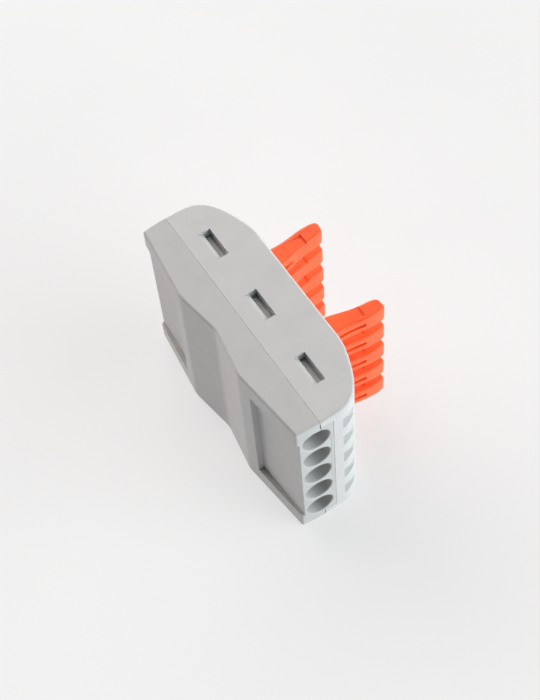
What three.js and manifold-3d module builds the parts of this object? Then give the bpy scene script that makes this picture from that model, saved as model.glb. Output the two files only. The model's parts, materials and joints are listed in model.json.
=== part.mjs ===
// Inline lever wire connector: five conductors in at each end, ten levers.
//
// Units are millimetres. The connector stands on one of its side walls:
//   +X runs along the wires, +Y is the lever side, +Z runs across the poles and is up.
// Heights in Y are measured from the bottom edge of the wire-entry ends. The whole group is
// moved at the end, so that the origin lies under the middle of the bounding box.
// All ten levers are modelled open. A lever closes by turning 90 degrees outward about its
// pivot, and its clamp spring swings up by 15 degrees about the middle of its loop.

import * as THREE from 'three';
import { mergeVertices } from 'three/addons/utils/BufferGeometryUtils.js';
import Module from 'manifold-3d';

const wasm = await Module();
wasm.setup();

// ---- Driving dimensions ----------------------------------------------------------------

const POLE_COUNT = 5;
const POLE_PITCH = 5.0;
const WIDTH = 28.3; // across the poles, the outside of both side walls
const FIRST_POLE_Z = (WIDTH - (POLE_COUNT - 1) * POLE_PITCH) / 2;

const TOP_Y = 13.25;
const RIDGE = { x: 7.5, y: -1.4 }; // lowest line of the bottom, one on each side of the middle
const VALLEY_Y = -0.2; // bottom at the middle
const FOOT_X = 19.65; // half the length at the bottom edge of an end
const SEAM_Y = 3.79; // where cap and base meet on the side walls
const SEAM_GAP = 0.1;
const SIDE_WALL = 1.45; // thickness of the cap's side walls
const FIT_GAP = 0.07; // between fixed mouldings that slide into each other

const BLOCK = { innerX: 12.2, topY: 5.85 }; // wire-entry blocks of the base; partitions share the height
const PORT = {
  y: 3.0,
  mouthRadius: 2.18,
  coneRadius: 1.88,
  throatRadius: 1.15,
  mouthEndX: 19.2,
  coneStartX: 16.4,
  throatX: 14.4,
};
const PORT_SEGMENTS = 16;
const CHAMBER = { halfWidth: 2.15, floorY: 0.7 };
// Shallow recess under each end.
const POCKET = { innerX: 9.9, innerFloorY: -0.2, endFloorY: 0.1, rim: 3.3 };

const WINDOW = { centres: [-12.13, 0, 12.13], halfLength: 2.45, lowY: 6.2, highY: 8.05 };
const WINDOW_RAMP = 0.65; // how far the sloping side of a window reaches into it
const LATCH_DEPTH = 1.0; // from the side wall to the face of the latch

const BAY = { halfWidth: 1.75, innerX: 1.7, outerX: 11.2, lowY: 6.15, roofY: 12.25 };
const LEVER_SLOT = { innerX: 4.6, floorY: 8.9, endX: 17.75 };
const NOTCH = { halfWidth: 1.3, lowY: 7.35, highY: 9.9, backX: 19.05, topX: 18.75 };

const PIVOT = { x: 6.8, y: 11.2, pinRadius: 1.0, bearingRadius: 1.1 };
const LEVER = { halfWidth: 1.5, hubRadius: 1.8, camRadius: 4.1, tipY: 22.0, pinReach: 2.2 };
const LEVER_GROOVE = {
  halfWidth: 0.28,
  startY: 12.2,
  outerX: 7.95,
  outerEndY: 18.65,
  innerX: 5.75,
  innerEndY: 16.1,
};
const LEVER_WAIST = { startY: 16.2, stepY: 18.85, depth: 0.35, rimX: 8.1 };
const POST = { halfLength: 0.9, halfThickness: 0.65, topY: 10.1 };

const BAR = { lowY: 4.5, highY: 5.4, halfWidth: 1.8, shoulderX: 9.4, noseHalfWidth: 1.0, endX: 12.9 };
const SPRING = {
  halfWidth: 1.6,
  thickness: 0.3,
  loopX: 3.0,
  loopY: 6.55,
  loopRadius: 0.95,
  footX: 4.9,
  leafSlope: 12.7,
  tailX: 10.45,
  tailEndY: 1.25,
  windowLowY: 1.8,
  windowHighY: 5.55,
  windowHalfWidth: 1.2,
};

const PLASTIC_GREY = new THREE.MeshStandardMaterial({ color: 0xc4c5c4, roughness: 0.55, metalness: 0 });
const BASE_GREY = new THREE.MeshStandardMaterial({ color: 0xbdbebc, roughness: 0.6, metalness: 0 });
const LEVER_ORANGE = new THREE.MeshStandardMaterial({ color: 0xff5a1e, roughness: 0.45, metalness: 0 });
const TINNED_COPPER = new THREE.MeshStandardMaterial({ color: 0xc9c2b4, roughness: 0.35, metalness: 1 });
const SPRING_STEEL = new THREE.MeshStandardMaterial({ color: 0xa9adb2, roughness: 0.3, metalness: 1 });

// ---- Solids ----------------------------------------------------------------------------

// A closed three.js geometry as a solid that can be joined and cut.
function solidOf(geometry) {
  const bare = geometry.index ? geometry.toNonIndexed() : geometry.clone();
  bare.deleteAttribute('normal');
  bare.deleteAttribute('uv');
  const merged = mergeVertices(bare, 1e-4);
  return new wasm.Manifold(new wasm.Mesh({
    numProp: 3,
    vertProperties: new Float32Array(merged.attributes.position.array),
    triVerts: new Uint32Array(merged.index.array),
  }));
}

function geometryOf(solid) {
  const mesh = solid.getMesh();
  const geometry = new THREE.BufferGeometry();
  geometry.setAttribute('position', new THREE.BufferAttribute(mesh.vertProperties, 3));
  geometry.setIndex(new THREE.BufferAttribute(mesh.triVerts, 1));
  geometry.computeVertexNormals();
  return geometry;
}

function joined(solids) {
  return solids.reduce((whole, piece) => whole.add(piece));
}

function cutBy(solid, cutters) {
  return cutters.reduce((whole, cutter) => whole.subtract(cutter), solid);
}

function box(x, y, z) {
  const size = [x, y, z].map(([from, to]) => to - from);
  const middle = [x, y, z].map(([from, to]) => (from + to) / 2);
  return solidOf(new THREE.BoxGeometry(...size).translate(...middle));
}

// An outline in X and Y, extruded from one Z to another.
function slab(shape, zFrom, zTo, curveSegments = 6) {
  const geometry = new THREE.ExtrudeGeometry(shape, {
    depth: zTo - zFrom,
    bevelEnabled: false,
    curveSegments,
  });
  return solidOf(geometry.translate(0, 0, zFrom));
}

// An outline of [y, z] points, extruded from one X to another.
function prismAlongX(points, xFrom, xTo) {
  const shape = new THREE.Shape(points.map(([y, z]) => new THREE.Vector2(-z, y)));
  const geometry = new THREE.ExtrudeGeometry(shape, { depth: xTo - xFrom, bevelEnabled: false });
  return solidOf(geometry.rotateY(Math.PI / 2).translate(xFrom, 0, 0));
}

function polygon(points) {
  return new THREE.Shape(points.map(([x, y]) => new THREE.Vector2(x, y)));
}

// A span on the +X side of the middle, or its mirror image on the -X side.
function span(side, from, to) {
  return side > 0 ? [from, to] : [-to, -from];
}

function poleZ(pole) {
  return FIRST_POLE_Z + (pole - 1) * POLE_PITCH;
}

const POLES = Array.from({ length: POLE_COUNT }, (_, index) => index + 1);
const WALLS = Array.from({ length: POLE_COUNT - 1 }, (_, index) => poleZ(index + 1) + POLE_PITCH / 2);
const SIDES = [-1, 1];

// ---- Housing ---------------------------------------------------------------------------

// The whole connector seen from the side: a shallow W for the bottom, two slightly bowed
// ends, round shoulders and a top that is flat in the middle.
function sideOutline() {
  const shape = new THREE.Shape();
  shape.moveTo(0, VALLEY_Y);
  shape.lineTo(RIDGE.x, RIDGE.y);
  shape.lineTo(FOOT_X, 0);
  shape.quadraticCurveTo(20.05, 3.2, 19.9, 6.4);
  shape.bezierCurveTo(19.85, 9.3, 18.3, 11.0, 13.4, 12.6);
  shape.quadraticCurveTo(11.4, TOP_Y, 10.2, TOP_Y);
  shape.lineTo(-10.2, TOP_Y);
  shape.quadraticCurveTo(-11.4, TOP_Y, -13.4, 12.6);
  shape.bezierCurveTo(-18.3, 11.0, -19.85, 9.3, -19.9, 6.4);
  shape.quadraticCurveTo(-20.05, 3.2, -FOOT_X, 0);
  shape.lineTo(-RIDGE.x, RIDGE.y);
  return shape;
}

// Outline of the hollow that one open lever and its spring move in, with the slot in the
// roof and the channel that the closed lever lies in.
function bayOutline(side) {
  const above = TOP_Y + 1;
  return polygon([
    [BAY.innerX, BAY.lowY],
    [BAY.outerX, BAY.lowY],
    [BAY.outerX, LEVER_SLOT.floorY],
    [LEVER_SLOT.endX, LEVER_SLOT.floorY],
    [LEVER_SLOT.endX, above],
    [LEVER_SLOT.innerX, above],
    [LEVER_SLOT.innerX, BAY.roofY],
    [BAY.innerX, BAY.roofY],
  ].map(([x, y]) => [side * x, y]));
}

// Bearing seat for the lever pins: round at the top and open downward.
function bearingOutline(side) {
  const shape = new THREE.Shape();
  const x = side * PIVOT.x;
  shape.moveTo(x - PIVOT.bearingRadius, BAY.lowY - 0.1);
  shape.lineTo(x + PIVOT.bearingRadius, BAY.lowY - 0.1);
  shape.absarc(x, PIVOT.y, PIVOT.bearingRadius, 0, Math.PI, false);
  return shape;
}

// A finger notch in the round shoulder: deepest at its lower edge, running out upward.
function notchOutline(side) {
  return polygon([
    [NOTCH.backX, NOTCH.lowY],
    [FOOT_X + 2, NOTCH.lowY],
    [FOOT_X + 2, NOTCH.highY],
    [NOTCH.topX, NOTCH.highY],
  ].map(([x, y]) => [side * x, y]));
}

// Latch window through a side wall. Its lower side slopes, and its other sides are square.
function windowCutter(centreX, wallZ) {
  const profile = [
    [WINDOW.lowY - WINDOW_RAMP * 0.1, -0.1],
    [WINDOW.highY, -0.1],
    [WINDOW.highY, SIDE_WALL + 0.1],
    [WINDOW.lowY + WINDOW_RAMP, SIDE_WALL + 0.1],
    [WINDOW.lowY + WINDOW_RAMP, LATCH_DEPTH],
  ];
  const points = profile.map(([y, depth]) => [y, wallZ(depth)]);
  return prismAlongX(points, centreX - WINDOW.halfLength, centreX + WINDOW.halfLength);
}

// Depth below the outside of each side wall, turned into a height in Z.
const SIDE_WALLS = [(depth) => depth, (depth) => WIDTH - depth];

function depthSpan(wallZ, from, to) {
  return [wallZ(from), wallZ(to)].sort((a, b) => a - b);
}

function entryPanelNotch(side) {
  return box(
    span(side, BLOCK.innerX - FIT_GAP, FOOT_X + 2),
    [SEAM_Y - 1, BLOCK.topY + FIT_GAP],
    [SIDE_WALL, WIDTH - SIDE_WALL],
  );
}

function makeHousingCap() {
  const inside = [SIDE_WALL, WIDTH - SIDE_WALL];
  const underneath = box([-30, 30], [-10, SEAM_Y + SEAM_GAP / 2], [-1, WIDTH + 1]);
  const tongueReach = WINDOW.halfLength - 0.1;
  const cutters = [underneath];
  cutters.push(box([-BAY.innerX, BAY.innerX], [SEAM_Y - 1, BAR.highY + 0.1], inside));
  for (const side of SIDES) {
    cutters.push(box(span(side, BAY.innerX - 0.1, BLOCK.innerX), [SEAM_Y - 1, BAY.lowY + 0.05], inside));
    cutters.push(entryPanelNotch(side));
    cutters.push(slab(bearingOutline(side), ...inside));
    for (const pole of POLES) {
      const z = poleZ(pole);
      cutters.push(slab(bayOutline(side), z - BAY.halfWidth, z + BAY.halfWidth));
      cutters.push(slab(notchOutline(side), z - NOTCH.halfWidth, z + NOTCH.halfWidth));
    }
  }
  for (const wallZ of SIDE_WALLS) {
    for (const x of WINDOW.centres) {
      cutters.push(windowCutter(x, wallZ));
      cutters.push(box(
        [x - tongueReach, x + tongueReach],
        [SEAM_Y - 1, WINDOW.highY + 0.35],
        depthSpan(wallZ, SIDE_WALL, SIDE_WALL + 0.65),
      ));
    }
  }
  return cutBy(slab(sideOutline(), 0, WIDTH), cutters);
}

// ---- Base ------------------------------------------------------------------------------

// The funnel of one wire entry: a wide mouth at the end face, a cone, and a narrow throat.
function portCutter(side, z) {
  const outside = FOOT_X + 1;
  const inside = BLOCK.innerX - 0.5;
  const profile = [
    [0, inside],
    [PORT.throatRadius, inside],
    [PORT.throatRadius, PORT.throatX],
    [PORT.coneRadius, PORT.coneStartX],
    [PORT.mouthRadius, PORT.mouthEndX],
    [PORT.mouthRadius, outside],
    [0, outside],
  ].map(([radius, x]) => new THREE.Vector2(radius, x));
  const geometry = new THREE.LatheGeometry(profile, PORT_SEGMENTS);
  geometry.rotateZ(side > 0 ? -Math.PI / 2 : Math.PI / 2);
  return solidOf(geometry.translate(0, PORT.y, z));
}

// A thin latch that stands on the base's side wall, and its catch in the cap's window.
function latchParts(centreX, wallZ) {
  const reach = WINDOW.halfLength - 0.2;
  const tongue = box(
    [centreX - reach, centreX + reach],
    [SEAM_Y - 0.6, WINDOW.highY + 0.2],
    depthSpan(wallZ, SIDE_WALL + FIT_GAP, SIDE_WALL + 0.55),
  );
  const catchBlock = box(
    [centreX - WINDOW.halfLength + 0.1, centreX + WINDOW.halfLength - 0.1],
    [WINDOW.lowY + WINDOW_RAMP + 0.1, WINDOW.highY - 0.1],
    depthSpan(wallZ, LATCH_DEPTH, SIDE_WALL + FIT_GAP + 0.02),
  );
  return [tongue, catchBlock];
}

// Walls between the poles, with the posts that hold the lever pins up in their seats.
function partitionParts() {
  const parts = [];
  const posts = WALLS.map((z) => [z - POST.halfThickness, z + POST.halfThickness]);
  for (const wallZ of SIDE_WALLS) {
    posts.push(depthSpan(wallZ, SIDE_WALL + FIT_GAP, 2.3));
  }
  for (const side of SIDES) {
    for (const z of WALLS) {
      const half = POLE_PITCH / 2 - CHAMBER.halfWidth;
      parts.push(box(
        span(side, BAY.innerX + 0.1, BLOCK.innerX + 0.1),
        [SEAM_Y - 0.6, BLOCK.topY],
        [z - half, z + half],
      ));
    }
    for (const postZ of posts) {
      const x = [side * PIVOT.x - POST.halfLength, side * PIVOT.x + POST.halfLength];
      parts.push(box(x, [SEAM_Y - 0.6, POST.topY], postZ));
    }
  }
  return parts;
}

// Recess under one end: a step at its inner side, and a floor that runs out towards the end.
function pocketOutline(side) {
  const slope = (POCKET.endFloorY - POCKET.innerFloorY) / (FOOT_X - POCKET.innerX);
  return polygon([
    [POCKET.innerX, -5],
    [POCKET.innerX, POCKET.innerFloorY],
    [FOOT_X + 2, POCKET.endFloorY + 2 * slope],
    [FOOT_X + 2, -5],
  ].map(([x, y]) => [side * x, y]));
}

function makeBaseCover() {
  const outline = slab(sideOutline(), 0, WIDTH);
  const lowerShell = outline.intersect(box([-30, 30], [-10, SEAM_Y - SEAM_GAP / 2], [-1, WIDTH + 1]));
  const entryBlocks = SIDES.map((side) => outline.intersect(box(
    span(side, BLOCK.innerX, FOOT_X + 2),
    [SEAM_Y - 1, BLOCK.topY],
    [SIDE_WALL + FIT_GAP, WIDTH - SIDE_WALL - FIT_GAP],
  )));

  const hollows = [];
  for (const pole of POLES) {
    const z = [poleZ(pole) - CHAMBER.halfWidth, poleZ(pole) + CHAMBER.halfWidth];
    for (const side of SIDES) {
      hollows.push(box(span(side, 0.5, BLOCK.innerX), [CHAMBER.floorY, SEAM_Y + 1], z));
      hollows.push(portCutter(side, poleZ(pole)));
      hollows.push(box(
        span(side, BLOCK.innerX - 0.5, BAR.endX + 0.15),
        [BAR.lowY - FIT_GAP, BAR.highY + FIT_GAP],
        [poleZ(pole) - BAR.noseHalfWidth - FIT_GAP, poleZ(pole) + BAR.noseHalfWidth + FIT_GAP],
      ));
    }
  }
  for (const side of SIDES) {
    hollows.push(slab(pocketOutline(side), POCKET.rim, WIDTH - POCKET.rim));
  }

  const hollowShell = cutBy(joined([lowerShell, ...entryBlocks]), hollows);
  const latches = SIDE_WALLS.flatMap((wallZ) => WINDOW.centres.flatMap((x) => latchParts(x, wallZ)));
  return joined([hollowShell, ...partitionParts(), ...latches]);
}

// ---- Inner parts of one pole, drawn about Z = 0 and on the +X side ----------------------

function makeBusbar() {
  const bar = box([-BAR.shoulderX, BAR.shoulderX], [BAR.lowY, BAR.highY], [-BAR.halfWidth, BAR.halfWidth]);
  const nose = box([-BAR.endX, BAR.endX], [BAR.lowY, BAR.highY], [-BAR.noseHalfWidth, BAR.noseHalfWidth]);
  return bar.add(nose);
}

// Points at a constant distance to one side of a line of [x, y] points.
function offsetLine(points, distance) {
  return points.map(([x, y], index) => {
    const before = points[Math.max(index - 1, 0)];
    const after = points[Math.min(index + 1, points.length - 1)];
    const along = [after[0] - before[0], after[1] - before[1]];
    const length = Math.hypot(...along);
    return [x - (distance * along[1]) / length, y + (distance * along[0]) / length];
  });
}

// Middle line of the cage clamp spring: foot on the busbar, round loop, sloping leaf that
// the lever's cam presses down, and the tail that hangs down in front of the wire entry.
function springLine() {
  const radians = (degrees) => (degrees * Math.PI) / 180;
  const loopSteps = 9;
  const loopStart = -90;
  const loopEnd = -360 + 90 - SPRING.leafSlope;
  const line = [[SPRING.footX, SPRING.loopY - SPRING.loopRadius]];
  for (let step = 0; step <= loopSteps; step += 1) {
    const angle = radians(loopStart + ((loopEnd - loopStart) * step) / loopSteps);
    line.push([
      SPRING.loopX + SPRING.loopRadius * Math.cos(angle),
      SPRING.loopY + SPRING.loopRadius * Math.sin(angle),
    ]);
  }
  const leafStart = line[line.length - 1];
  const bendRadius = 0.35;
  const leafY = (x) => leafStart[1] - (x - leafStart[0]) * Math.tan(radians(SPRING.leafSlope));
  line.push([SPRING.tailX - bendRadius, leafY(SPRING.tailX - bendRadius)]);
  line.push([SPRING.tailX - bendRadius * 0.3, leafY(SPRING.tailX) - bendRadius * 0.3]);
  line.push([SPRING.tailX, leafY(SPRING.tailX) - bendRadius]);
  line.push([SPRING.tailX, SPRING.tailEndY]);
  return line;
}

function makeClampSpring() {
  const line = springLine();
  const half = SPRING.thickness / 2;
  const strip = polygon([...offsetLine(line, half), ...offsetLine(line, -half).reverse()]);
  const window = box(
    [SPRING.tailX - 1, SPRING.tailX + 1],
    [SPRING.windowLowY, SPRING.windowHighY],
    [-SPRING.windowHalfWidth, SPRING.windowHalfWidth],
  );
  return slab(strip, -SPRING.halfWidth, SPRING.halfWidth).subtract(window);
}

// A lever from the side: cam nose at the bottom, round hub, and the slightly curved grip.
function leverOutline() {
  const fromPivot = (radius, degrees) => {
    const angle = (degrees * Math.PI) / 180;
    return [PIVOT.x - radius * Math.sin(angle), PIVOT.y - radius * Math.cos(angle)];
  };
  const hubStart = (-120 * Math.PI) / 180;
  const hubEnd = (-40 * Math.PI) / 180;
  const shape = new THREE.Shape();
  shape.moveTo(...fromPivot(LEVER.camRadius, 7));
  shape.lineTo(...fromPivot(LEVER.camRadius, 12));
  shape.lineTo(...fromPivot(LEVER.hubRadius, 30));
  shape.absarc(PIVOT.x, PIVOT.y, LEVER.hubRadius, hubStart, -Math.PI, true);
  shape.lineTo(5.0, 13.3);
  shape.bezierCurveTo(5.35, 15.6, 6.2, 17.0, 6.35, 19.3);
  shape.bezierCurveTo(6.45, 21.0, 6.85, LEVER.tipY, 7.7, LEVER.tipY);
  shape.bezierCurveTo(8.6, LEVER.tipY, 8.9, 21.2, 8.9, 19.9);
  shape.bezierCurveTo(8.9, 18.2, 8.45, 17.0, 8.5, 14.6);
  shape.lineTo(PIVOT.x + LEVER.hubRadius, PIVOT.y);
  shape.absarc(PIVOT.x, PIVOT.y, LEVER.hubRadius, 0, hubEnd, true);
  return shape;
}

// The ramp down to the waist on one side face, which ends in a step just under the tip.
function waistCutter(face) {
  const at = (inset) => face * (LEVER.halfWidth - inset);
  const outside = face * (LEVER.halfWidth + 0.5);
  const points = [
    [LEVER_WAIST.startY, at(0)],
    [LEVER_WAIST.stepY, at(LEVER_WAIST.depth)],
    [LEVER_WAIST.stepY, outside],
    [LEVER_WAIST.startY, outside],
  ];
  return prismAlongX(points, 5.0, LEVER_WAIST.rimX);
}

// Narrow groove along a face of the grip, rounded at its upper end and cut from one X to another.
function grooveCutter(endY, xFrom, xTo) {
  const halfWidth = LEVER_GROOVE.halfWidth;
  const shape = new THREE.Shape();
  shape.moveTo(-halfWidth, LEVER_GROOVE.startY);
  shape.lineTo(halfWidth, LEVER_GROOVE.startY);
  shape.absarc(0, endY - halfWidth, halfWidth, 0, Math.PI, false);
  const geometry = new THREE.ExtrudeGeometry(shape, {
    depth: xTo - xFrom,
    bevelEnabled: false,
    curveSegments: 4,
  });
  return solidOf(geometry.rotateY(Math.PI / 2).translate(xFrom, 0, 0));
}

function makeLever() {
  const body = slab(leverOutline(), -LEVER.halfWidth, LEVER.halfWidth, 4);
  const pin = new THREE.CylinderGeometry(PIVOT.pinRadius, PIVOT.pinRadius, 2 * LEVER.pinReach, 12);
  const pins = solidOf(pin.rotateX(Math.PI / 2).translate(PIVOT.x, PIVOT.y, 0));
  return cutBy(body.add(pins), [
    waistCutter(1),
    waistCutter(-1),
    grooveCutter(LEVER_GROOVE.outerEndY, LEVER_GROOVE.outerX, LEVER_GROOVE.outerX + 3),
    grooveCutter(LEVER_GROOVE.innerEndY, LEVER_GROOVE.innerX - 3, LEVER_GROOVE.innerX),
  ]);
}

// ---- Assembly --------------------------------------------------------------------------

function namedMesh(name, geometry, material) {
  const mesh = new THREE.Mesh(geometry, material);
  mesh.name = name;
  return mesh;
}

function assemble() {
  const connector = new THREE.Group();
  connector.add(namedMesh('housing_cap', geometryOf(makeHousingCap()), PLASTIC_GREY));
  connector.add(namedMesh('base_cover', geometryOf(makeBaseCover()), BASE_GREY));

  const busbar = geometryOf(makeBusbar());
  const lever = geometryOf(makeLever());
  const spring = geometryOf(makeClampSpring());
  for (const pole of POLES) {
    const poleGroup = new THREE.Group();
    poleGroup.position.z = poleZ(pole);
    poleGroup.add(namedMesh(`busbar_${pole}`, busbar, TINNED_COPPER));
    for (const [row, turn] of [['left', Math.PI], ['right', 0]]) {
      const rowGroup = new THREE.Group();
      rowGroup.rotation.y = turn;
      rowGroup.add(namedMesh(`lever_${row}_${pole}`, lever, LEVER_ORANGE));
      rowGroup.add(namedMesh(`clamp_spring_${row}_${pole}`, spring, SPRING_STEEL));
      poleGroup.add(rowGroup);
    }
    connector.add(poleGroup);
  }

  connector.position.y = -(RIDGE.y + LEVER.tipY) / 2;
  return connector;
}

export default assemble();
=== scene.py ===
# Looks of an inline lever wire connector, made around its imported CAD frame.
#
# Shapes are drawn in millimetres in a drawing frame: +X runs along the wires, +Y is the lever
# side and is measured from the bottom edge of the wire-entry ends, +Z runs across the poles
# and is up. Each finished mesh is then scaled to metres and moved to where the frame has it.

import json
import math

import bmesh
import bpy
from mathutils import Matrix, Vector


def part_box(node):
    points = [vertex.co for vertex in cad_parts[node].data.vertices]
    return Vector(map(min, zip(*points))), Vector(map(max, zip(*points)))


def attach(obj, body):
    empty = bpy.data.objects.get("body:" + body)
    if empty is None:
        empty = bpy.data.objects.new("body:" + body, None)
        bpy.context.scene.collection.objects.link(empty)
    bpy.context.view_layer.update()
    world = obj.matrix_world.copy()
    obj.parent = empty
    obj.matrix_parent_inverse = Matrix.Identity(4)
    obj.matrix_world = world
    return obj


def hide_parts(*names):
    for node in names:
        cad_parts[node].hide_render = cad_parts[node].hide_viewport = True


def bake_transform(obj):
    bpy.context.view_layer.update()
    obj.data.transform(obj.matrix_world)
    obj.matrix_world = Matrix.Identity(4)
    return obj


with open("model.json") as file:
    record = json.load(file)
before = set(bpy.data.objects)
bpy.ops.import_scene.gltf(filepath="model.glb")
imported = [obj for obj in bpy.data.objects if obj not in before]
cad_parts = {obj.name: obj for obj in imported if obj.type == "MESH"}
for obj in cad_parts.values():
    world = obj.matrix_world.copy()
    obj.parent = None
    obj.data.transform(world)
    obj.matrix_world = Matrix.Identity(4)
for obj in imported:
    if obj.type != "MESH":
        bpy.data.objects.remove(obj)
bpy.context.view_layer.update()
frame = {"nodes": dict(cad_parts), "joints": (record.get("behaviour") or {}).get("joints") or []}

# ---- Driving dimensions, in millimetres ---------------------------------------------------

MM = 0.001
SIDES = (-1, 1)
ROWS = {"left": -1, "right": 1}
JOINTS = {joint["name"]: joint for joint in frame["joints"]}
POLES = range(1, 1 + sum(name.startswith("busbar_") for name in frame["nodes"]))

# The outline from the side, from the middle of the bottom up over one end.
RIDGE = Vector((7.5, -1.4))
VALLEY = Vector((0, -0.2))
BEND_ROUNDING = 4.0
FOOT = Vector((19.65, 0))
FOOT_ROUNDING = 0.42
END_BOW = Vector((20.05, 3.2))
SHOULDER = Vector((19.9, 6.4))
SHOULDER_TOP = Vector((13.4, 12.6))
FLAT_TOP_X = 10.2
Y_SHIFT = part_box("base_cover")[0].y / MM - RIDGE.y
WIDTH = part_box("housing_cap")[1].z / MM
TOP_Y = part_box("housing_cap")[1].y / MM - Y_SHIFT
FAR = 40  # beyond the connector, for cutters

SEAM_Y = 3.79
SEAM_GAP = 0.015
SEAM_STEP = 0.05  # how far the cap's side faces lie inside the base's
SIDE_WALL = 1.45
FIT_GAP = 0.04
ROOT = 0.6  # how far added walls, posts and tongues reach down into the base
SHELL_ROUNDING = 0.4
CAP_CHAMFER = 0.035
BASE_CHAMFER = 0.1

# Wire entries, wire chambers and the recesses under the ends.
BLOCK = {"inner_x": 12.2, "top_y": 5.77}
PORT = {
    "y": 3.0,
    "mouth": 2.12,
    "cone": 2.05,
    "throat": 1.15,
    "cone_x": 16.4,
    "throat_x": 14.4,
    "lip": 0.17,
}
CHAMBER = {"half": 2.15, "floor_y": 0.7}
POCKET = {"inner_x": 9.9, "inner_floor_y": -0.2, "end_floor_y": 0.44, "rim": 3.3}

# Latch windows in the cap, and the base's tongues and catches that lock into them.
WINDOW = {
    "centres": (-12.13, 0, 12.13),
    "half": 2.52,
    "low_y": 6.03,
    "high_y": 8.05,
    "ramp": 0.85,
    "ramp_depth": 0.5,
}
TONGUE = {"inset": 0.2, "rise": 0.2, "depth": 0.55, "room": 0.1, "room_rise": 0.35}
CATCH = {"inset": 0.4, "gap_low": 0.05, "gap_high": 0.3, "depth": 1.25}

# Hollows for the levers, and the finger notches.
BAY = {"half": 1.75, "inner_x": 1.7, "outer_x": 11.2, "low_y": 6.15, "roof_y": 12.25}
SLOT = {"inner_x": 4.6, "floor_y": 8.9, "end_x": 17.75}
NOTCH = {
    "half": 1.3,
    "low_y": 7.35,
    "high_y": 9.9,
    "back_x": 18.85,
    "top_x": 18.66,
    "run_out": 0.95,
    "slope": 0.45,
}

# Levers, their pins and the posts below the pins.
PIVOT = Vector((6.8, 11.2))
PIN = {"radius": 1.0, "bearing": 1.1, "reach": 2.2, "sides": 48}
LEVER = {"half": 1.5, "hub": 1.8, "cam": 4.1, "tip_y": 21.98, "rounding": 0.38, "chamfer": 0.07}
GROOVE = {
    "half": 0.31,
    "start_y": 12.2,
    "outer_x": 7.95,
    "outer_end_y": 18.65,
    "inner_x": 5.75,
    "inner_end_y": 16.1,
}
WAIST = {"start_y": 16.2, "step_y": 18.85, "depth": 0.27, "rim_x": 8.1}
POST = {"half": 0.9, "thickness": 0.65, "top_y": 10.1, "wall_depth": 2.3}

# Busbars and clamp springs.
BAR = {"low_y": 4.5, "high_y": 5.4, "nose": 1.0, "end_x": 12.9, "edge": 0.12}
SPRING = {
    "half": 1.6,
    "thickness": 0.3,
    "loop": Vector((3.0, 6.55)),
    "loop_radius": 0.95,
    "foot_x": 4.9,
    "slope": math.radians(12.7),
    "tail_x": 10.45,
    "tail_end_y": 1.25,
    "bend": 0.35,
    "window": (1.8, 5.55),
    "window_half": 1.2,
    "edge": 0.04,
}

# ---- Light and camera, with angles in degrees and places in metres ------------------------

WINDOW_GLOW = {
    "azimuth": 41,
    "elevation": 9,
    "focus": 6.5,
    "strength": 7.0,
    "colour": (0.95, 1.02, 1.04, 1),
}
REFLECTOR_GLOW = {
    "azimuth": 178,
    "elevation": 6,
    "focus": 3.5,
    "strength": 6.0,
    "colour": (1.06, 0.98, 0.95, 1),
}
TABLE_GLOW = 0.585
TABLE_HALF = 1.5
CAMERA = {
    "azimuth": 62.34,
    "elevation": 59.68,
    "roll": -5.92,
    "distance": 0.24476,
    "target": Vector((-0.00051, -0.00211, 0.01415)),
    "lens": 87.4,
}


def pole_z(pole):
    """The middle of a pole across the connector."""
    return JOINTS[f"lever_right_{pole}_pivot"]["pos_m"][2] / MM


# ---- Outlines -----------------------------------------------------------------------------


def bezier(points, steps):
    """Points of a Bezier curve of any degree, without its first point."""
    result = []
    for step in range(1, steps + 1):
        row = [Vector(point) for point in points]
        while len(row) > 1:
            row = [a.lerp(b, step / steps) for a, b in zip(row, row[1:])]
        result.append(row[0])
    return result


def arc(centre, radius, start, end, steps):
    """Points on a circle from one angle to another, in degrees, both ends included."""
    angles = [math.radians(start + (end - start) * step / steps) for step in range(steps + 1)]
    return [Vector(centre) + radius * Vector((math.cos(a), math.sin(a))) for a in angles]


def circle(centre, radius, sides):
    """Points all round a circle."""
    return arc(centre, radius, 0, 360, sides)[:-1]


def corner(before, point, after, radius, steps=4):
    """A corner of an outline, rounded to a radius."""
    back = (Vector(before) - point).normalized()
    ahead = (Vector(after) - point).normalized()
    turn = math.pi - back.angle(ahead)
    reach = radius * math.tan(turn / 2)
    start = point + back * reach
    centre = point + (back + ahead).normalized() * radius / math.cos(turn / 2)
    sense = 1 if back.x * ahead.y - back.y * ahead.x < 0 else -1
    result = []
    for step in range(steps + 1):
        swing = Matrix.Rotation(sense * turn * step / steps, 2)
        result.append(centre + swing @ (start - centre))
    return result


def counterclockwise(outline):
    """An outline, turned round if it runs clockwise."""
    pairs = zip(outline, outline[1:] + outline[:1])
    area = sum(a.x * b.y - b.x * a.y for a, b in pairs)
    return outline if area > 0 else outline[::-1]


def inset(outline, distance):
    """A counterclockwise outline with each side moved inward by a distance."""
    result = []
    for before, point, after in zip(outline[-1:] + outline[:-1], outline, outline[1:] + outline[:1]):
        first = (point - before).normalized()
        second = (after - point).normalized()
        normals = Vector((-first.y, first.x)), Vector((-second.y, second.x))
        result.append(point + (normals[0] + normals[1]) * distance / (1 + normals[0].dot(normals[1])))
    return result


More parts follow.
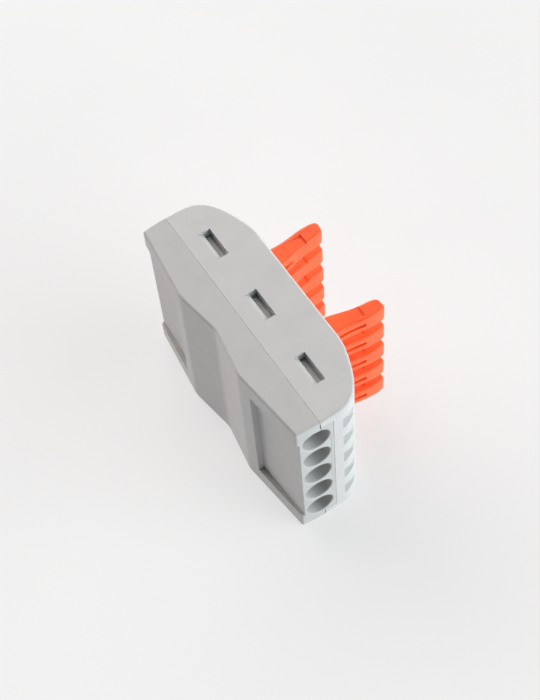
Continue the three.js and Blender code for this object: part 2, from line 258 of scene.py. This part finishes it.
def side_outline():
    """The whole connector from the side: a shallow W below, bowed ends, round shoulders, flat top."""
    mirror_ridge = Vector((-RIDGE.x, RIDGE.y))
    end_face = bezier([FOOT, END_BOW, SHOULDER], 12)
    valley_bend = corner(mirror_ridge, VALLEY, RIDGE, BEND_ROUNDING)
    half = valley_bend[3:]
    half += corner(VALLEY, RIDGE, FOOT, BEND_ROUNDING)
    half += corner(RIDGE, FOOT, end_face[0], FOOT_ROUNDING)
    half += end_face[1:]
    half += bezier([SHOULDER, (19.85, 9.3), (18.3, 11.0), SHOULDER_TOP], 18)
    half += bezier([SHOULDER_TOP, (11.4, TOP_Y), (FLAT_TOP_X, TOP_Y)], 8)
    mirrored = [Vector((-point.x, point.y)) for point in reversed(half)]
    return [valley_bend[2]] + half + mirrored


def bay_outline(side):
    """The hollow that one open lever and its spring move in, and the channel of the closed lever."""
    above = TOP_Y + 1
    points = [
        (BAY["inner_x"], BAY["low_y"]),
        (BAY["outer_x"], BAY["low_y"]),
        (BAY["outer_x"], SLOT["floor_y"]),
        (SLOT["end_x"], SLOT["floor_y"]),
        (SLOT["end_x"], above),
        (SLOT["inner_x"], above),
        (SLOT["inner_x"], BAY["roof_y"]),
        (BAY["inner_x"], BAY["roof_y"]),
    ]
    return [Vector((side * x, y)) for x, y in points]


def bearing_outline(side):
    """A seat for the lever pins, round at the top and open downward."""
    x = side * PIVOT.x
    low_y = BAY["low_y"] - 0.1
    seat = arc((x, PIVOT.y), PIN["bearing"], 0, 180, 20)
    return [Vector((x - PIN["bearing"], low_y)), Vector((x + PIN["bearing"], low_y))] + seat


def notch_outline(side, run_out):
    """A finger notch in the round shoulder, with its back moved outward by run_out."""
    points = [
        (NOTCH["back_x"] + run_out, NOTCH["low_y"]),
        (FOOT.x + 2, NOTCH["low_y"]),
        (FOOT.x + 2, NOTCH["high_y"]),
        (NOTCH["top_x"] + run_out, NOTCH["high_y"]),
    ]
    return [Vector((side * x, y)) for x, y in points]


def pocket_outline(side):
    """The recess under one end: a step at its inner side, and a floor that runs out to the end."""
    slope = (POCKET["end_floor_y"] - POCKET["inner_floor_y"]) / (FOOT.x - POCKET["inner_x"])
    points = [
        (POCKET["inner_x"], -5),
        (POCKET["inner_x"], POCKET["inner_floor_y"]),
        (FOOT.x + 2, POCKET["end_floor_y"] + 2 * slope),
        (FOOT.x + 2, -5),
    ]
    return [Vector((side * x, y)) for x, y in points]


def lever_outline():
    """A lever's hub and slightly curved grip, from the side."""
    hub = LEVER["hub"]
    left, right = PIVOT.x - hub, PIVOT.x + hub
    tip_y = LEVER["tip_y"]
    outline = [Vector((left, 12.2)), Vector((left, 13.3))]
    outline += bezier([(left, 13.3), (5.35, 15.6), (6.2, 17.0), (6.35, 19.3)], 10)
    outline += bezier([(6.35, 19.3), (6.5, 20.6), (6.45, tip_y - 0.2), (7.3, tip_y - 0.1)], 10)
    outline += bezier([(8.0, tip_y), (8.8, tip_y), (8.95, 21.4), (8.95, 19.9)], 10)
    outline += bezier([(8.95, 19.9), (8.95, 18.2), (8.45, 17.0), (8.5, 14.6)], 10)
    return outline + arc(PIVOT, hub, 0, -180, 20)


def nose_outline():
    """The cam nose below a lever's hub, which presses the clamp spring down."""
    def from_pivot(radius, degrees):
        angle = math.radians(degrees)
        return PIVOT - radius * Vector((math.sin(angle), math.cos(angle)))

    return [
        from_pivot(LEVER["cam"], 7),
        from_pivot(LEVER["cam"], 12),
        from_pivot(LEVER["hub"], 30),
        PIVOT,
        from_pivot(LEVER["hub"], -50),
    ]


def spring_line():
    """Middle line of a clamp spring: foot, round loop, sloping leaf, bend and hanging tail."""
    loop, radius, bend = SPRING["loop"], SPRING["loop_radius"], SPRING["bend"]
    line = [Vector((SPRING["foot_x"], loop.y - radius))]
    line += arc(loop, radius, -90, -270 - math.degrees(SPRING["slope"]), 28)
    start = line[-1]
    tail_x = SPRING["tail_x"]
    bend_top = Vector((tail_x, start.y - (tail_x - start.x) * math.tan(SPRING["slope"])))
    line += corner(start, bend_top, bend_top - Vector((0, 1)), bend, 6)
    line.append(Vector((tail_x, SPRING["tail_end_y"])))
    return line


# ---- Solids, as Blender meshes in millimetres ---------------------------------------------


def new_object(name, vertices, faces):
    """A mesh object in the scene."""
    mesh = bpy.data.meshes.new(name)
    mesh.from_pydata([tuple(v) for v in vertices], [], faces)
    mesh.update()
    obj = bpy.data.objects.new(name, mesh)
    bpy.context.scene.collection.objects.link(obj)
    return obj


def skin(name, rings):
    """A closed solid through rings of points, each ring counterclockwise about the way ahead."""
    count = len(rings[0])
    vertices = [point for ring in rings for point in ring]
    faces = [tuple(reversed(range(count))), tuple(range((len(rings) - 1) * count, len(rings) * count))]
    for low in range(0, (len(rings) - 1) * count, count):
        for i in range(count):
            j = (i + 1) % count
            faces.append((low + i, low + j, low + count + j, low + count + i))
    return new_object(name, vertices, faces)


def slab(outline, z_from, z_to):
    """An outline of (x, y) points, extruded along Z."""
    outline = counterclockwise(outline)
    return skin("slab", [[(p.x, p.y, z) for p in outline] for z in (z_from, z_to)])


def rounded_slab(outline, z_from, z_to, radius, steps=5):
    """An extruded outline whose edges at both ends are rounded to a radius."""
    outline = counterclockwise(outline)
    levels = []
    for step in range(steps + 1):
        angle = math.pi / 2 * step / steps
        levels.append((radius * (1 - math.cos(angle)), radius * (1 - math.sin(angle))))
    rings = [(z_from + rise, pull) for rise, pull in levels]
    rings += [(z_to - rise, pull) for rise, pull in reversed(levels)]
    return skin("slab", [[(p.x, p.y, z) for p in inset(outline, pull)] for z, pull in rings])


def prism_along_x(points, x_from, x_to):
    """An outline of (y, z) points, extruded along X."""
    outline = counterclockwise([Vector(point) for point in points])
    return skin("prism", [[(x, p.x, p.y) for p in outline] for x in (x_from, x_to)])


def box(x, y, z):
    """A block between two values of X, of Y and of Z."""
    outline = [Vector((x[0], y[0])), Vector((x[1], y[0])), Vector((x[1], y[1])), Vector((x[0], y[1]))]
    return slab(outline, *z)


def span(side, low, high):
    """A span on the +X side of the middle, or its mirror image on the -X side."""
    return (low, high) if side > 0 else (-high, -low)


def depth_span(wall, low, high):
    """Depths below the outside of the lower (-1) or upper (1) side wall, as a span in Z."""
    return (low, high) if wall < 0 else (WIDTH - high, WIDTH - low)


def joined(objects):
    """Separate solids that don't touch each other, as one object."""
    merged = bmesh.new()
    for obj in objects:
        merged.from_mesh(obj.data)
        bpy.data.objects.remove(obj)
    mesh = bpy.data.meshes.new("joined")
    merged.to_mesh(mesh)
    merged.free()
    result = bpy.data.objects.new("joined", mesh)
    bpy.context.scene.collection.objects.link(result)
    return result


def settle(obj):
    """Applies an object's modifiers to its mesh."""
    evaluated = obj.evaluated_get(bpy.context.evaluated_depsgraph_get())
    mesh = bpy.data.meshes.new_from_object(evaluated)
    obj.modifiers.clear()
    obj.data = mesh


def combine(target, others, operation):
    """Cuts other solids from a target, or adds them to it."""
    for other in others:
        modifier = target.modifiers.new("combine", "BOOLEAN")
        modifier.object = other
        modifier.operation = operation
        modifier.solver = "MANIFOLD"
    settle(target)
    for other in others:
        bpy.data.objects.remove(other)
    return target


def cut(target, *cutters):
    return combine(target, cutters, "DIFFERENCE")


def add(target, *parts):
    return combine(target, parts, "UNION")


def clean(obj):
    """Welds what the cutting left and joins faces that lie in one plane."""
    mesh = bmesh.new()
    mesh.from_mesh(obj.data)
    bmesh.ops.remove_doubles(mesh, verts=mesh.verts, dist=0.002)
    bmesh.ops.dissolve_limit(
        mesh, angle_limit=math.radians(0.2), verts=mesh.verts, edges=mesh.edges, use_dissolve_boundaries=False
    )
    mesh.to_mesh(obj.data)
    mesh.free()


def finish_edges(obj, width):
    """Breaks the sharp edges and gives flat faces even shading."""
    clean(obj)
    bevel = obj.modifiers.new("bevel", "BEVEL")
    bevel.width = width
    bevel.segments = 2
    bevel.limit_method = "ANGLE"
    bevel.angle_limit = math.radians(33)
    bevel.use_clamp_overlap = False
    bevel.miter_outer = "MITER_ARC"
    settle(obj)
    mesh = bmesh.new()
    mesh.from_mesh(obj.data)
    bmesh.ops.dissolve_degenerate(mesh, edges=mesh.edges, dist=0.001)
    for edge in mesh.edges:
        edge.smooth = edge.calc_face_angle(0) < math.radians(42)
    for face in mesh.faces:
        face.smooth = True
    mesh.to_mesh(obj.data)
    mesh.free()
    normals = obj.modifiers.new("normals", "WEIGHTED_NORMAL")
    normals.weight = 80
    normals.keep_sharp = True
    settle(obj)


def into_frame(obj, name, material):
    """Scales a drawn object to metres, moves it to where the frame has it and names it."""
    obj.data.transform(Matrix.Scale(MM, 4) @ Matrix.Translation((0, Y_SHIFT, 0)))
    obj.name = name
    obj.data.name = name
    obj.data.materials.clear()
    obj.data.materials.append(material)
    return obj


# ---- Housing ------------------------------------------------------------------------------


def window_cutter(centre_x, wall):
    """A latch window in a side wall: its lower side slopes, and its other sides are square."""
    through = SIDE_WALL + 0.1
    ramp_y = WINDOW["low_y"] + WINDOW["ramp"]
    profile = [
        (WINDOW["low_y"] - 0.1 * WINDOW["ramp"] / WINDOW["ramp_depth"], -0.1),
        (WINDOW["high_y"], -0.1),
        (WINDOW["high_y"], through),
        (ramp_y, through),
        (ramp_y, WINDOW["ramp_depth"]),
    ]
    points = [(y, depth if wall < 0 else WIDTH - depth) for y, depth in profile]
    return prism_along_x(points, centre_x - WINDOW["half"], centre_x + WINDOW["half"])


def tongue_relief(centre_x, wall):
    """Room inside a side wall for the base's latch tongue."""
    reach = WINDOW["half"] - TONGUE["inset"] + TONGUE["room"]
    z = depth_span(wall, SIDE_WALL - 0.001, SIDE_WALL + TONGUE["depth"] + TONGUE["room"])
    return box((centre_x - reach, centre_x + reach), (SEAM_Y - 1, WINDOW["high_y"] + TONGUE["room_rise"]), z)


def notch_cutter(side, pole):
    """One finger notch: an upright back, and a lower wall that slopes out to the end face."""
    low_z = pole_z(pole) - NOTCH["half"]
    levels = [(low_z, NOTCH["run_out"]), (low_z + NOTCH["slope"], 0), (low_z + 2 * NOTCH["half"], 0)]
    rings = []
    for z, run_out in levels:
        outline = counterclockwise(notch_outline(side, run_out))
        rings.append([(point.x, point.y, z) for point in outline])
    return skin("notch", rings)


def make_housing_cap():
    """The upper shell, cut from the whole outline."""
    inside = (SIDE_WALL, WIDTH - SIDE_WALL)
    below_bays = (SEAM_Y - 1, BAY["low_y"] + 0.05)
    above_blocks = (SEAM_Y - 1, BLOCK["top_y"] + SEAM_GAP)
    cap = rounded_slab(side_outline(), SEAM_STEP, WIDTH - SEAM_STEP, SHELL_ROUNDING)
    cut(
        cap,
        box((-FAR, FAR), (-FAR, SEAM_Y + SEAM_GAP / 2), (-1, WIDTH + 1)),
        box((-BAY["inner_x"], BAY["inner_x"]), (SEAM_Y - 1, BAR["high_y"] + 0.1), inside),
        joined([box(span(side, BAY["inner_x"] - 0.1, BLOCK["inner_x"]), below_bays, inside)
                for side in SIDES]),
        joined([box(span(side, BLOCK["inner_x"] - FIT_GAP, FAR), above_blocks, inside) for side in SIDES]),
        joined([slab(bearing_outline(side), *inside) for side in SIDES]),
        joined([slab(bay_outline(side), pole_z(pole) - BAY["half"], pole_z(pole) + BAY["half"])
                for side in SIDES for pole in POLES]),
        joined([notch_cutter(side, pole) for side in SIDES for pole in POLES]),
        joined([window_cutter(x, wall) for x in WINDOW["centres"] for wall in SIDES]),
        joined([tongue_relief(x, wall) for x in WINDOW["centres"] for wall in SIDES]),
    )
    finish_edges(cap, CAP_CHAMFER)
    return cap


def end_face_x(y):
    """How far out the bowed end face is at a height."""
    share = y / SHOULDER.y
    return (1 - share) ** 2 * FOOT.x + 2 * share * (1 - share) * END_BOW.x + share**2 * SHOULDER.x


def port_cutter(side, z, segments=64, lip_steps=5):
    """The funnel of one wire entry: a narrow throat, a cone, a wide mouth and a rounded lip."""
    angles = [2 * math.pi * step / segments for step in range(segments)]

    def ring(radius, x_at):
        points = [(PORT["y"] + radius * math.cos(a), z + side * radius * math.sin(a)) for a in angles]
        return [(side * x_at(y), y, z_point) for y, z_point in points]

    rings = [
        ring(PORT["throat"], lambda y: BLOCK["inner_x"] - 0.5),
        ring(PORT["throat"], lambda y: PORT["throat_x"]),
        ring(PORT["cone"], lambda y: PORT["cone_x"]),
    ]
    lip = PORT["lip"]
    for step in range(lip_steps + 1):
        turn = math.radians(80) * step / lip_steps
        depth = lip * (1 - math.sin(turn))
        rings.append(ring(PORT["mouth"] + lip * (1 - math.cos(turn)), lambda y: end_face_x(y) - depth))
    rings.append(ring(PORT["mouth"] + 2 * lip, lambda y: end_face_x(y) + 0.2))
    return skin("port", rings)


def latch_tongue(centre_x, wall):
    """The springy strip that carries a catch, just inside a side wall."""
    reach = WINDOW["half"] - TONGUE["inset"]
    z = depth_span(wall, SIDE_WALL + FIT_GAP, SIDE_WALL + TONGUE["depth"])
    return box((centre_x - reach, centre_x + reach), (SEAM_Y - ROOT, WINDOW["high_y"] + TONGUE["rise"]), z)


def latch_catch(centre_x, wall):
    """The raised pad on a tongue, which shows in a window."""
    reach = WINDOW["half"] - CATCH["inset"]
    y = (WINDOW["low_y"] + WINDOW["ramp"] + CATCH["gap_low"], WINDOW["high_y"] - CATCH["gap_high"])
    z = depth_span(wall, CATCH["depth"], SIDE_WALL + FIT_GAP + 0.02)
    return box((centre_x - reach, centre_x + reach), y, z)


def wall_z():
    """Middles of the walls between neighbouring poles."""
    return [(pole_z(pole) + pole_z(pole + 1)) / 2 for pole in POLES[:-1]]


def partitions():
    """Walls between neighbouring wire chambers."""
    half = (pole_z(2) - pole_z(1)) / 2 - CHAMBER["half"]
    y = (SEAM_Y - ROOT, BLOCK["top_y"])
    return joined([box(span(side, BAY["inner_x"] + 0.1, BLOCK["inner_x"] + 0.1), y, (z - half, z + half))
                   for side in SIDES for z in wall_z()])


def pin_posts():
    """Posts that hold the lever pins up in their seats."""
    spans = [(z - POST["thickness"], z + POST["thickness"]) for z in wall_z()]
    spans += [depth_span(wall, SIDE_WALL + FIT_GAP, POST["wall_depth"]) for wall in SIDES]
    posts = []
    for side in SIDES:
        x = (side * PIVOT.x - POST["half"], side * PIVOT.x + POST["half"])
        posts += [box(x, (SEAM_Y - ROOT, POST["top_y"]), z) for z in spans]
    return joined(posts)


def make_base_cover():
    """The lower shell with its wire-entry blocks, partitions, posts and latches."""
    base = rounded_slab(side_outline(), 0, WIDTH, SHELL_ROUNDING)
    above = (SEAM_Y - SEAM_GAP / 2, FAR)
    bar_half = BAR["nose"] + FIT_GAP
    seats = [(side, pole_z(pole)) for side in SIDES for pole in POLES]
    cut(
        base,
        box((-FAR, FAR), (BLOCK["top_y"], FAR), (-1, WIDTH + 1)),
        box((-BLOCK["inner_x"], BLOCK["inner_x"]), above, (-1, WIDTH + 1)),
        joined([box((-FAR, FAR), above, depth_span(wall, -1, SIDE_WALL + FIT_GAP)) for wall in SIDES]),
        joined([box(span(side, 0.5, BLOCK["inner_x"]), (CHAMBER["floor_y"], SEAM_Y + 1),
                    (z - CHAMBER["half"], z + CHAMBER["half"])) for side, z in seats]),
        joined([port_cutter(side, z) for side, z in seats]),
        joined([box(span(side, BLOCK["inner_x"] - 0.5, BAR["end_x"] + 0.15),
                    (BAR["low_y"] - FIT_GAP, BAR["high_y"] + FIT_GAP),
                    (z - bar_half, z + bar_half)) for side, z in seats]),
        joined([slab(pocket_outline(side), POCKET["rim"], WIDTH - POCKET["rim"]) for side in SIDES]),
    )
    add(
        base,
        partitions(),
        pin_posts(),
        joined([latch_tongue(x, wall) for x in WINDOW["centres"] for wall in SIDES]),
        joined([latch_catch(x, wall) for x in WINDOW["centres"] for wall in SIDES]),
    )
    finish_edges(base, BASE_CHAMFER)
    return base


# ---- Levers and springs, drawn about Z = 0 on the +X side ---------------------------------


def groove_cutter(end_y, x_from, x_to):
    """A narrow groove along a face of the grip, rounded at its upper end."""
    half = GROOVE["half"]
    round_end = arc((end_y - half, 0), half, -90, 90, 12)
    points = [(GROOVE["start_y"], half), (GROOVE["start_y"], -half)] + [(p.x, p.y) for p in round_end]
    return prism_along_x(points, x_from, x_to)


def waist_cutter(face):
    """The ramp down to the waist on one side face, which ends in a step just under the tip."""
    half = LEVER["half"]
    points = [
        (WAIST["start_y"], face * half),
        (WAIST["step_y"], face * (half - WAIST["depth"])),
        (WAIST["step_y"], face * (half + 0.5)),
        (WAIST["start_y"], face * (half + 0.5)),
    ]
    return prism_along_x(points, 5.0, WAIST["rim_x"])


def make_lever():
    """One lever: grip and hub, cam nose and pins."""
    half = LEVER["half"]
    lever = rounded_slab(lever_outline(), -half, half, LEVER["rounding"])
    pins = slab(circle(PIVOT, PIN["radius"], PIN["sides"]), -PIN["reach"], PIN["reach"])
    add(lever, slab(nose_outline(), 0.001 - half, half - 0.001), pins)
    cut(
        lever,
        waist_cutter(1),
        waist_cutter(-1),
        groove_cutter(GROOVE["outer_end_y"], GROOVE["outer_x"], GROOVE["outer_x"] + 3),
        groove_cutter(GROOVE["inner_end_y"], GROOVE["inner_x"] - 3, GROOVE["inner_x"]),
    )
    finish_edges(lever, LEVER["chamfer"])
    return lever


def make_clamp_spring():
    """One clamp spring: a strip along its middle line, with a window for the wire in its tail."""
    line = spring_line()
    half = SPRING["thickness"] / 2
    edges = []
    for side in (1, -1):
        for before, point, after in zip(line[:1] + line, line, line[1:] + line[-1:]):
            along = (after - before).normalized()
            edges.append((side, point + side * half * Vector((-along.y, along.x))))
    outer = [point for side, point in edges if side > 0]
    inner = [point for side, point in edges if side < 0]
    spring = slab(outer + inner[::-1], -SPRING["half"], SPRING["half"])
    tail_x = SPRING["tail_x"]
    reach = SPRING["window_half"]
    cut(spring, box((tail_x - 1, tail_x + 1), SPRING["window"], (-reach, reach)))
    finish_edges(spring, SPRING["edge"])
    return spring


def placed_copy(source, side, pole, name, material):
    """A copy of a drawn piece at its pole, turned half round about Y for the left row."""
    obj = bpy.data.objects.new(name, source.data.copy())
    bpy.context.scene.collection.objects.link(obj)
    turn = Matrix.Rotation(0 if side > 0 else math.pi, 4, "Y")
    obj.data.transform(Matrix.Translation((0, 0, pole_z(pole))) @ turn)
    return into_frame(obj, name, material)


# ---- Materials ----------------------------------------------------------------------------


def node(tree, kind, **inputs):
    """A shader node, with values or links for its inputs."""
    made = tree.nodes.new(kind)
    for name, value in inputs.items():
        socket = made.inputs[name.replace("_", " ")]
        if isinstance(value, bpy.types.NodeSocket):
            tree.links.new(value, socket)
        else:
            socket.default_value = value
    return made


def noise(tree, size, detail=2.0, roughness=0.5):
    """Noise in the piece's own space, with features of about the given size in millimetres."""
    place = node(tree, "ShaderNodeTexCoord").outputs["Object"]
    scale = 1 / (size * MM)
    made = node(tree, "ShaderNodeTexNoise", Vector=place, Scale=scale, Detail=detail, Roughness=roughness)
    return made.outputs["Fac"]


def ramp(tree, factor, stops):
    """Colours or grey values along a factor, as (position, colour) stops."""
    made = node(tree, "ShaderNodeValToRGB", Fac=factor)
    elements = made.color_ramp.elements
    while len(elements) < len(stops):
        elements.new(0.5)
    for element, (position, colour) in zip(elements, stops):
        element.position = position
        element.color = colour
    return made.outputs["Color"]


def grey(value):
    """A neutral colour."""
    return (value, value, value, 1)


def shaded(colour, factor):
    """A colour made darker or lighter."""
    return tuple(channel * factor for channel in colour[:3]) + (1,)


def bump(tree, height, distance, strength, normal=None):
    """Relief of a height map, with its depth in millimetres."""
    made = node(tree, "ShaderNodeBump", Height=height, Distance=distance * MM, Strength=strength)
    if normal:
        tree.links.new(normal, made.inputs["Normal"])
    return made.outputs["Normal"]


def new_material(name):
    """A material with its node tree and shader."""
    material = bpy.data.materials.new(name)
    material.use_nodes = True
    tree = material.node_tree
    shader = tree.nodes["Principled BSDF"]
    return material, tree, shader


def housing_plastic(name, colour, roughness):
    """Matt moulded polyamide: fine eroded grain, faint flow mottling and uneven sheen."""
    material, tree, shader = new_material(name)
    mottle = noise(tree, 3.2, 4.0, 0.6)
    tree.links.new(
        ramp(tree, mottle, [(0.3, shaded(colour, 0.955)), (0.52, colour), (0.75, shaded(colour, 1.03))]),
        shader.inputs["Base Color"],
    )
    sheen = noise(tree, 0.9, 3.0)
    tree.links.new(
        ramp(tree, sheen, [(0.3, grey(roughness - 0.06)), (0.7, grey(roughness + 0.07))]),
        shader.inputs["Roughness"],
    )
    grain = bump(tree, noise(tree, 0.11, 3.0, 0.65), 0.012, 0.35)
    waves = bump(tree, noise(tree, 1.6, 2.0), 0.02, 0.25, grain)
    tree.links.new(waves, shader.inputs["Normal"])
    shader.inputs["Specular IOR Level"].default_value = 0.42
    return material


def lever_plastic():
    """Satin orange moulding: finer grain, slight translucency and deeper colour in places."""
    material, tree, shader = new_material("satin_orange_plastic")
    colour = (1.0, 0.125, 0.02, 1)
    tone = noise(tree, 2.4, 3.0)
    tree.links.new(
        ramp(tree, tone, [(0.3, (1.0, 0.108, 0.016, 1)), (0.55, colour), (0.75, (1.0, 0.14, 0.027, 1))]),
        shader.inputs["Base Color"],
    )
    sheen = noise(tree, 0.7, 3.0)
    tree.links.new(ramp(tree, sheen, [(0.3, grey(0.36)), (0.7, grey(0.47))]), shader.inputs["Roughness"])
    grain = bump(tree, noise(tree, 0.14, 3.0, 0.6), 0.01, 0.25)
    waves = bump(tree, noise(tree, 1.3, 2.0), 0.02, 0.2, grain)
    tree.links.new(waves, shader.inputs["Normal"])
    shader.inputs["Subsurface Weight"].default_value = 0.4
    shader.inputs["Subsurface Radius"].default_value = (1.0, 0.3, 0.08)
    shader.inputs["Subsurface Scale"].default_value = 1.3 * MM
    return material


def tinned_copper():
    """Tin-plated copper strip: soft bright metal with dull patches and faint scuffs."""
    material, tree, shader = new_material("tinned_copper_strip")
    patches = noise(tree, 1.1, 4.0, 0.6)
    tree.links.new(
        ramp(tree, patches, [(0.3, (0.6, 0.56, 0.5, 1)), (0.6, (0.76, 0.73, 0.68, 1))]),
        shader.inputs["Base Color"],
    )
    tree.links.new(ramp(tree, patches, [(0.3, grey(0.42)), (0.7, grey(0.26))]), shader.inputs["Roughness"])
    scuffs = bump(tree, noise(tree, 0.2, 4.0, 0.7), 0.008, 0.3)
    tree.links.new(scuffs, shader.inputs["Normal"])
    shader.inputs["Metallic"].default_value = 1.0
    return material


def spring_steel():
    """Rolled spring strip, with fine lines that run along it."""
    material, tree, shader = new_material("rolled_spring_steel")
    place = node(tree, "ShaderNodeTexCoord").outputs["Object"]
    stretch = node(tree, "ShaderNodeMapping", Vector=place, Scale=(0.08, 0.08, 1.0)).outputs["Vector"]
    lines = node(tree, "ShaderNodeTexNoise", Vector=stretch, Scale=1 / (0.09 * MM), Detail=3.0).outputs["Fac"]
    tree.links.new(
        ramp(tree, lines, [(0.3, (0.46, 0.48, 0.5, 1)), (0.7, (0.62, 0.64, 0.66, 1))]),
        shader.inputs["Base Color"],
    )
    tree.links.new(ramp(tree, lines, [(0.3, grey(0.3)), (0.7, grey(0.22))]), shader.inputs["Roughness"])
    tree.links.new(bump(tree, lines, 0.006, 0.3), shader.inputs["Normal"])
    shader.inputs["Metallic"].default_value = 1.0
    return material


def table_top():
    """Matt white light table: a dim board with a faint tooth, lit evenly from below."""
    material, tree, shader = new_material("white_board")
    tone = noise(tree, 40.0, 2.0)
    tree.links.new(ramp(tree, tone, [(0.3, grey(0.29)), (0.7, grey(0.31))]), shader.inputs["Base Color"])
    tree.links.new(bump(tree, noise(tree, 0.5, 3.0), 0.01, 0.15), shader.inputs["Normal"])
    shader.inputs["Roughness"].default_value = 0.85
    shader.inputs["Emission Color"].default_value = (1.0, 1.0, 1.0, 1)
    shader.inputs["Emission Strength"].default_value = TABLE_GLOW
    return material


# ---- The connector ------------------------------------------------------------------------


def stand_in(obj, body, slot, *nodes):
    """Rides a finished piece on its body in place of its CAD nodes."""
    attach(obj, body)
    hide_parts(*nodes)


def build_housing():
    # Cap and base are moulded in one grey. The base's grey is set darker than the cap's as painted shade: it
    # stands for the side face growing darker towards its bottom edge under the light.
    cap_material = housing_plastic("cap_grey_plastic", (0.565, 0.569, 0.568, 1), 0.5)
    base_painted_shade_material = housing_plastic("base_grey_plastic_painted_shade", (0.505, 0.507, 0.505, 1), 0.53)
    cap = into_frame(make_housing_cap(), "cap_shell", cap_material)
    base = into_frame(make_base_cover(), "base_shell", base_painted_shade_material)
    stand_in(cap, "housing", "cap_plastic", "housing_cap")
    stand_in(base, "housing", "base_plastic", "base_cover")


def build_levers():
    material = lever_plastic()
    source = make_lever()
    for row, side in ROWS.items():
        for pole in POLES:
            lever = placed_copy(source, side, pole, f"orange_lever_{row}_{pole}", material)
            stand_in(lever, f"lever_{row}_{pole}", "lever_plastic", f"lever_{row}_{pole}")
    bpy.data.objects.remove(source)


def build_springs():
    material = spring_steel()
    source = make_clamp_spring()
    for row, side in ROWS.items():
        for pole in POLES:
            spring = placed_copy(source, side, pole, f"cage_spring_{row}_{pole}", material)
            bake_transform(spring)
            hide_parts(f"clamp_spring_{row}_{pole}")
    bpy.data.objects.remove(source)


def dress_busbars():
    """The CAD busbars, with eased edges and their metal."""
    material = tinned_copper()
    for pole in POLES:
        busbar = frame["nodes"][f"busbar_{pole}"]
        busbar.data.materials.clear()
        busbar.data.materials.append(material)
        bevel = busbar.modifiers.new("bevel", "BEVEL")
        bevel.width = BAR["edge"] * MM
        bevel.segments = 3
        bevel.limit_method = "ANGLE"


# ---- Floor, light and camera --------------------------------------------------------------


def add_floor():
    """A wide square board that the connector stands on."""
    half = TABLE_HALF
    corners = [(-half, -half, 0), (half, -half, 0), (half, half, 0), (-half, half, 0)]
    floor = new_object("floor", corners, [(0, 1, 2, 3)])
    floor.data.materials.append(table_top())


def add_glow(tree, direction, azimuth, elevation, focus, strength, colour):
    """One soft bright patch of the sky around a direction, wide for a low focus."""
    azimuth, elevation = math.radians(azimuth), math.radians(elevation)
    facing = tree.nodes.new("ShaderNodeVectorMath")
    facing.operation = "DOT_PRODUCT"
    tree.links.new(direction, facing.inputs[0])
    facing.inputs[1].default_value = (
        math.cos(azimuth) * math.cos(elevation),
        math.sin(azimuth) * math.cos(elevation),
        math.sin(elevation),
    )
    level = facing.outputs["Value"]
    for operation, amount in (("MAXIMUM", 0.0), ("POWER", focus), ("MULTIPLY", strength)):
        step = tree.nodes.new("ShaderNodeMath")
        step.operation = operation
        tree.links.new(level, step.inputs[0])
        step.inputs[1].default_value = amount
        level = step.outputs["Value"]
    return node(tree, "ShaderNodeBackground", Color=colour, Strength=level).outputs["Background"]


def add_lights():
    """A soft studio surround: a cool window side and a weaker warm reflector behind."""
    world = bpy.data.worlds.new("studio")
    bpy.context.scene.world = world
    world.use_nodes = True
    tree = world.node_tree
    tree.nodes.remove(tree.nodes["Background"])
    direction = node(tree, "ShaderNodeTexCoord").outputs["Generated"]
    window, reflector = (add_glow(tree, direction, **glow) for glow in (WINDOW_GLOW, REFLECTOR_GLOW))
    both = tree.nodes.new("ShaderNodeAddShader")
    tree.links.new(window, both.inputs[0])
    tree.links.new(reflector, both.inputs[1])
    tree.links.new(both.outputs["Shader"], tree.nodes["World Output"].inputs["Surface"])


def add_camera():
    """A camera above the bottom edge and the near end, aimed at the middle of the housing."""
    azimuth, elevation, roll = (math.radians(CAMERA[name]) for name in ("azimuth", "elevation", "roll"))
    towards = Vector((
        math.sin(azimuth) * math.cos(elevation),
        -math.cos(azimuth) * math.cos(elevation),
        math.sin(elevation),
    ))
    camera = bpy.data.cameras.new("camera")
    camera.lens = CAMERA["lens"]
    camera.sensor_width = 36
    camera.clip_start = 0.01
    obj = bpy.data.objects.new("camera", camera)
    turn = towards.to_track_quat("Z", "Y").to_matrix().to_4x4() @ Matrix.Rotation(roll, 4, "Z")
    obj.matrix_world = Matrix.Translation(CAMERA["target"] + towards * CAMERA["distance"]) @ turn
    bpy.context.scene.collection.objects.link(obj)
    bpy.context.scene.camera = obj


bpy.context.scene.view_settings.view_transform = "Standard"
add_camera()
add_lights()
add_floor()
build_housing()
build_levers()
build_springs()
dress_busbars()
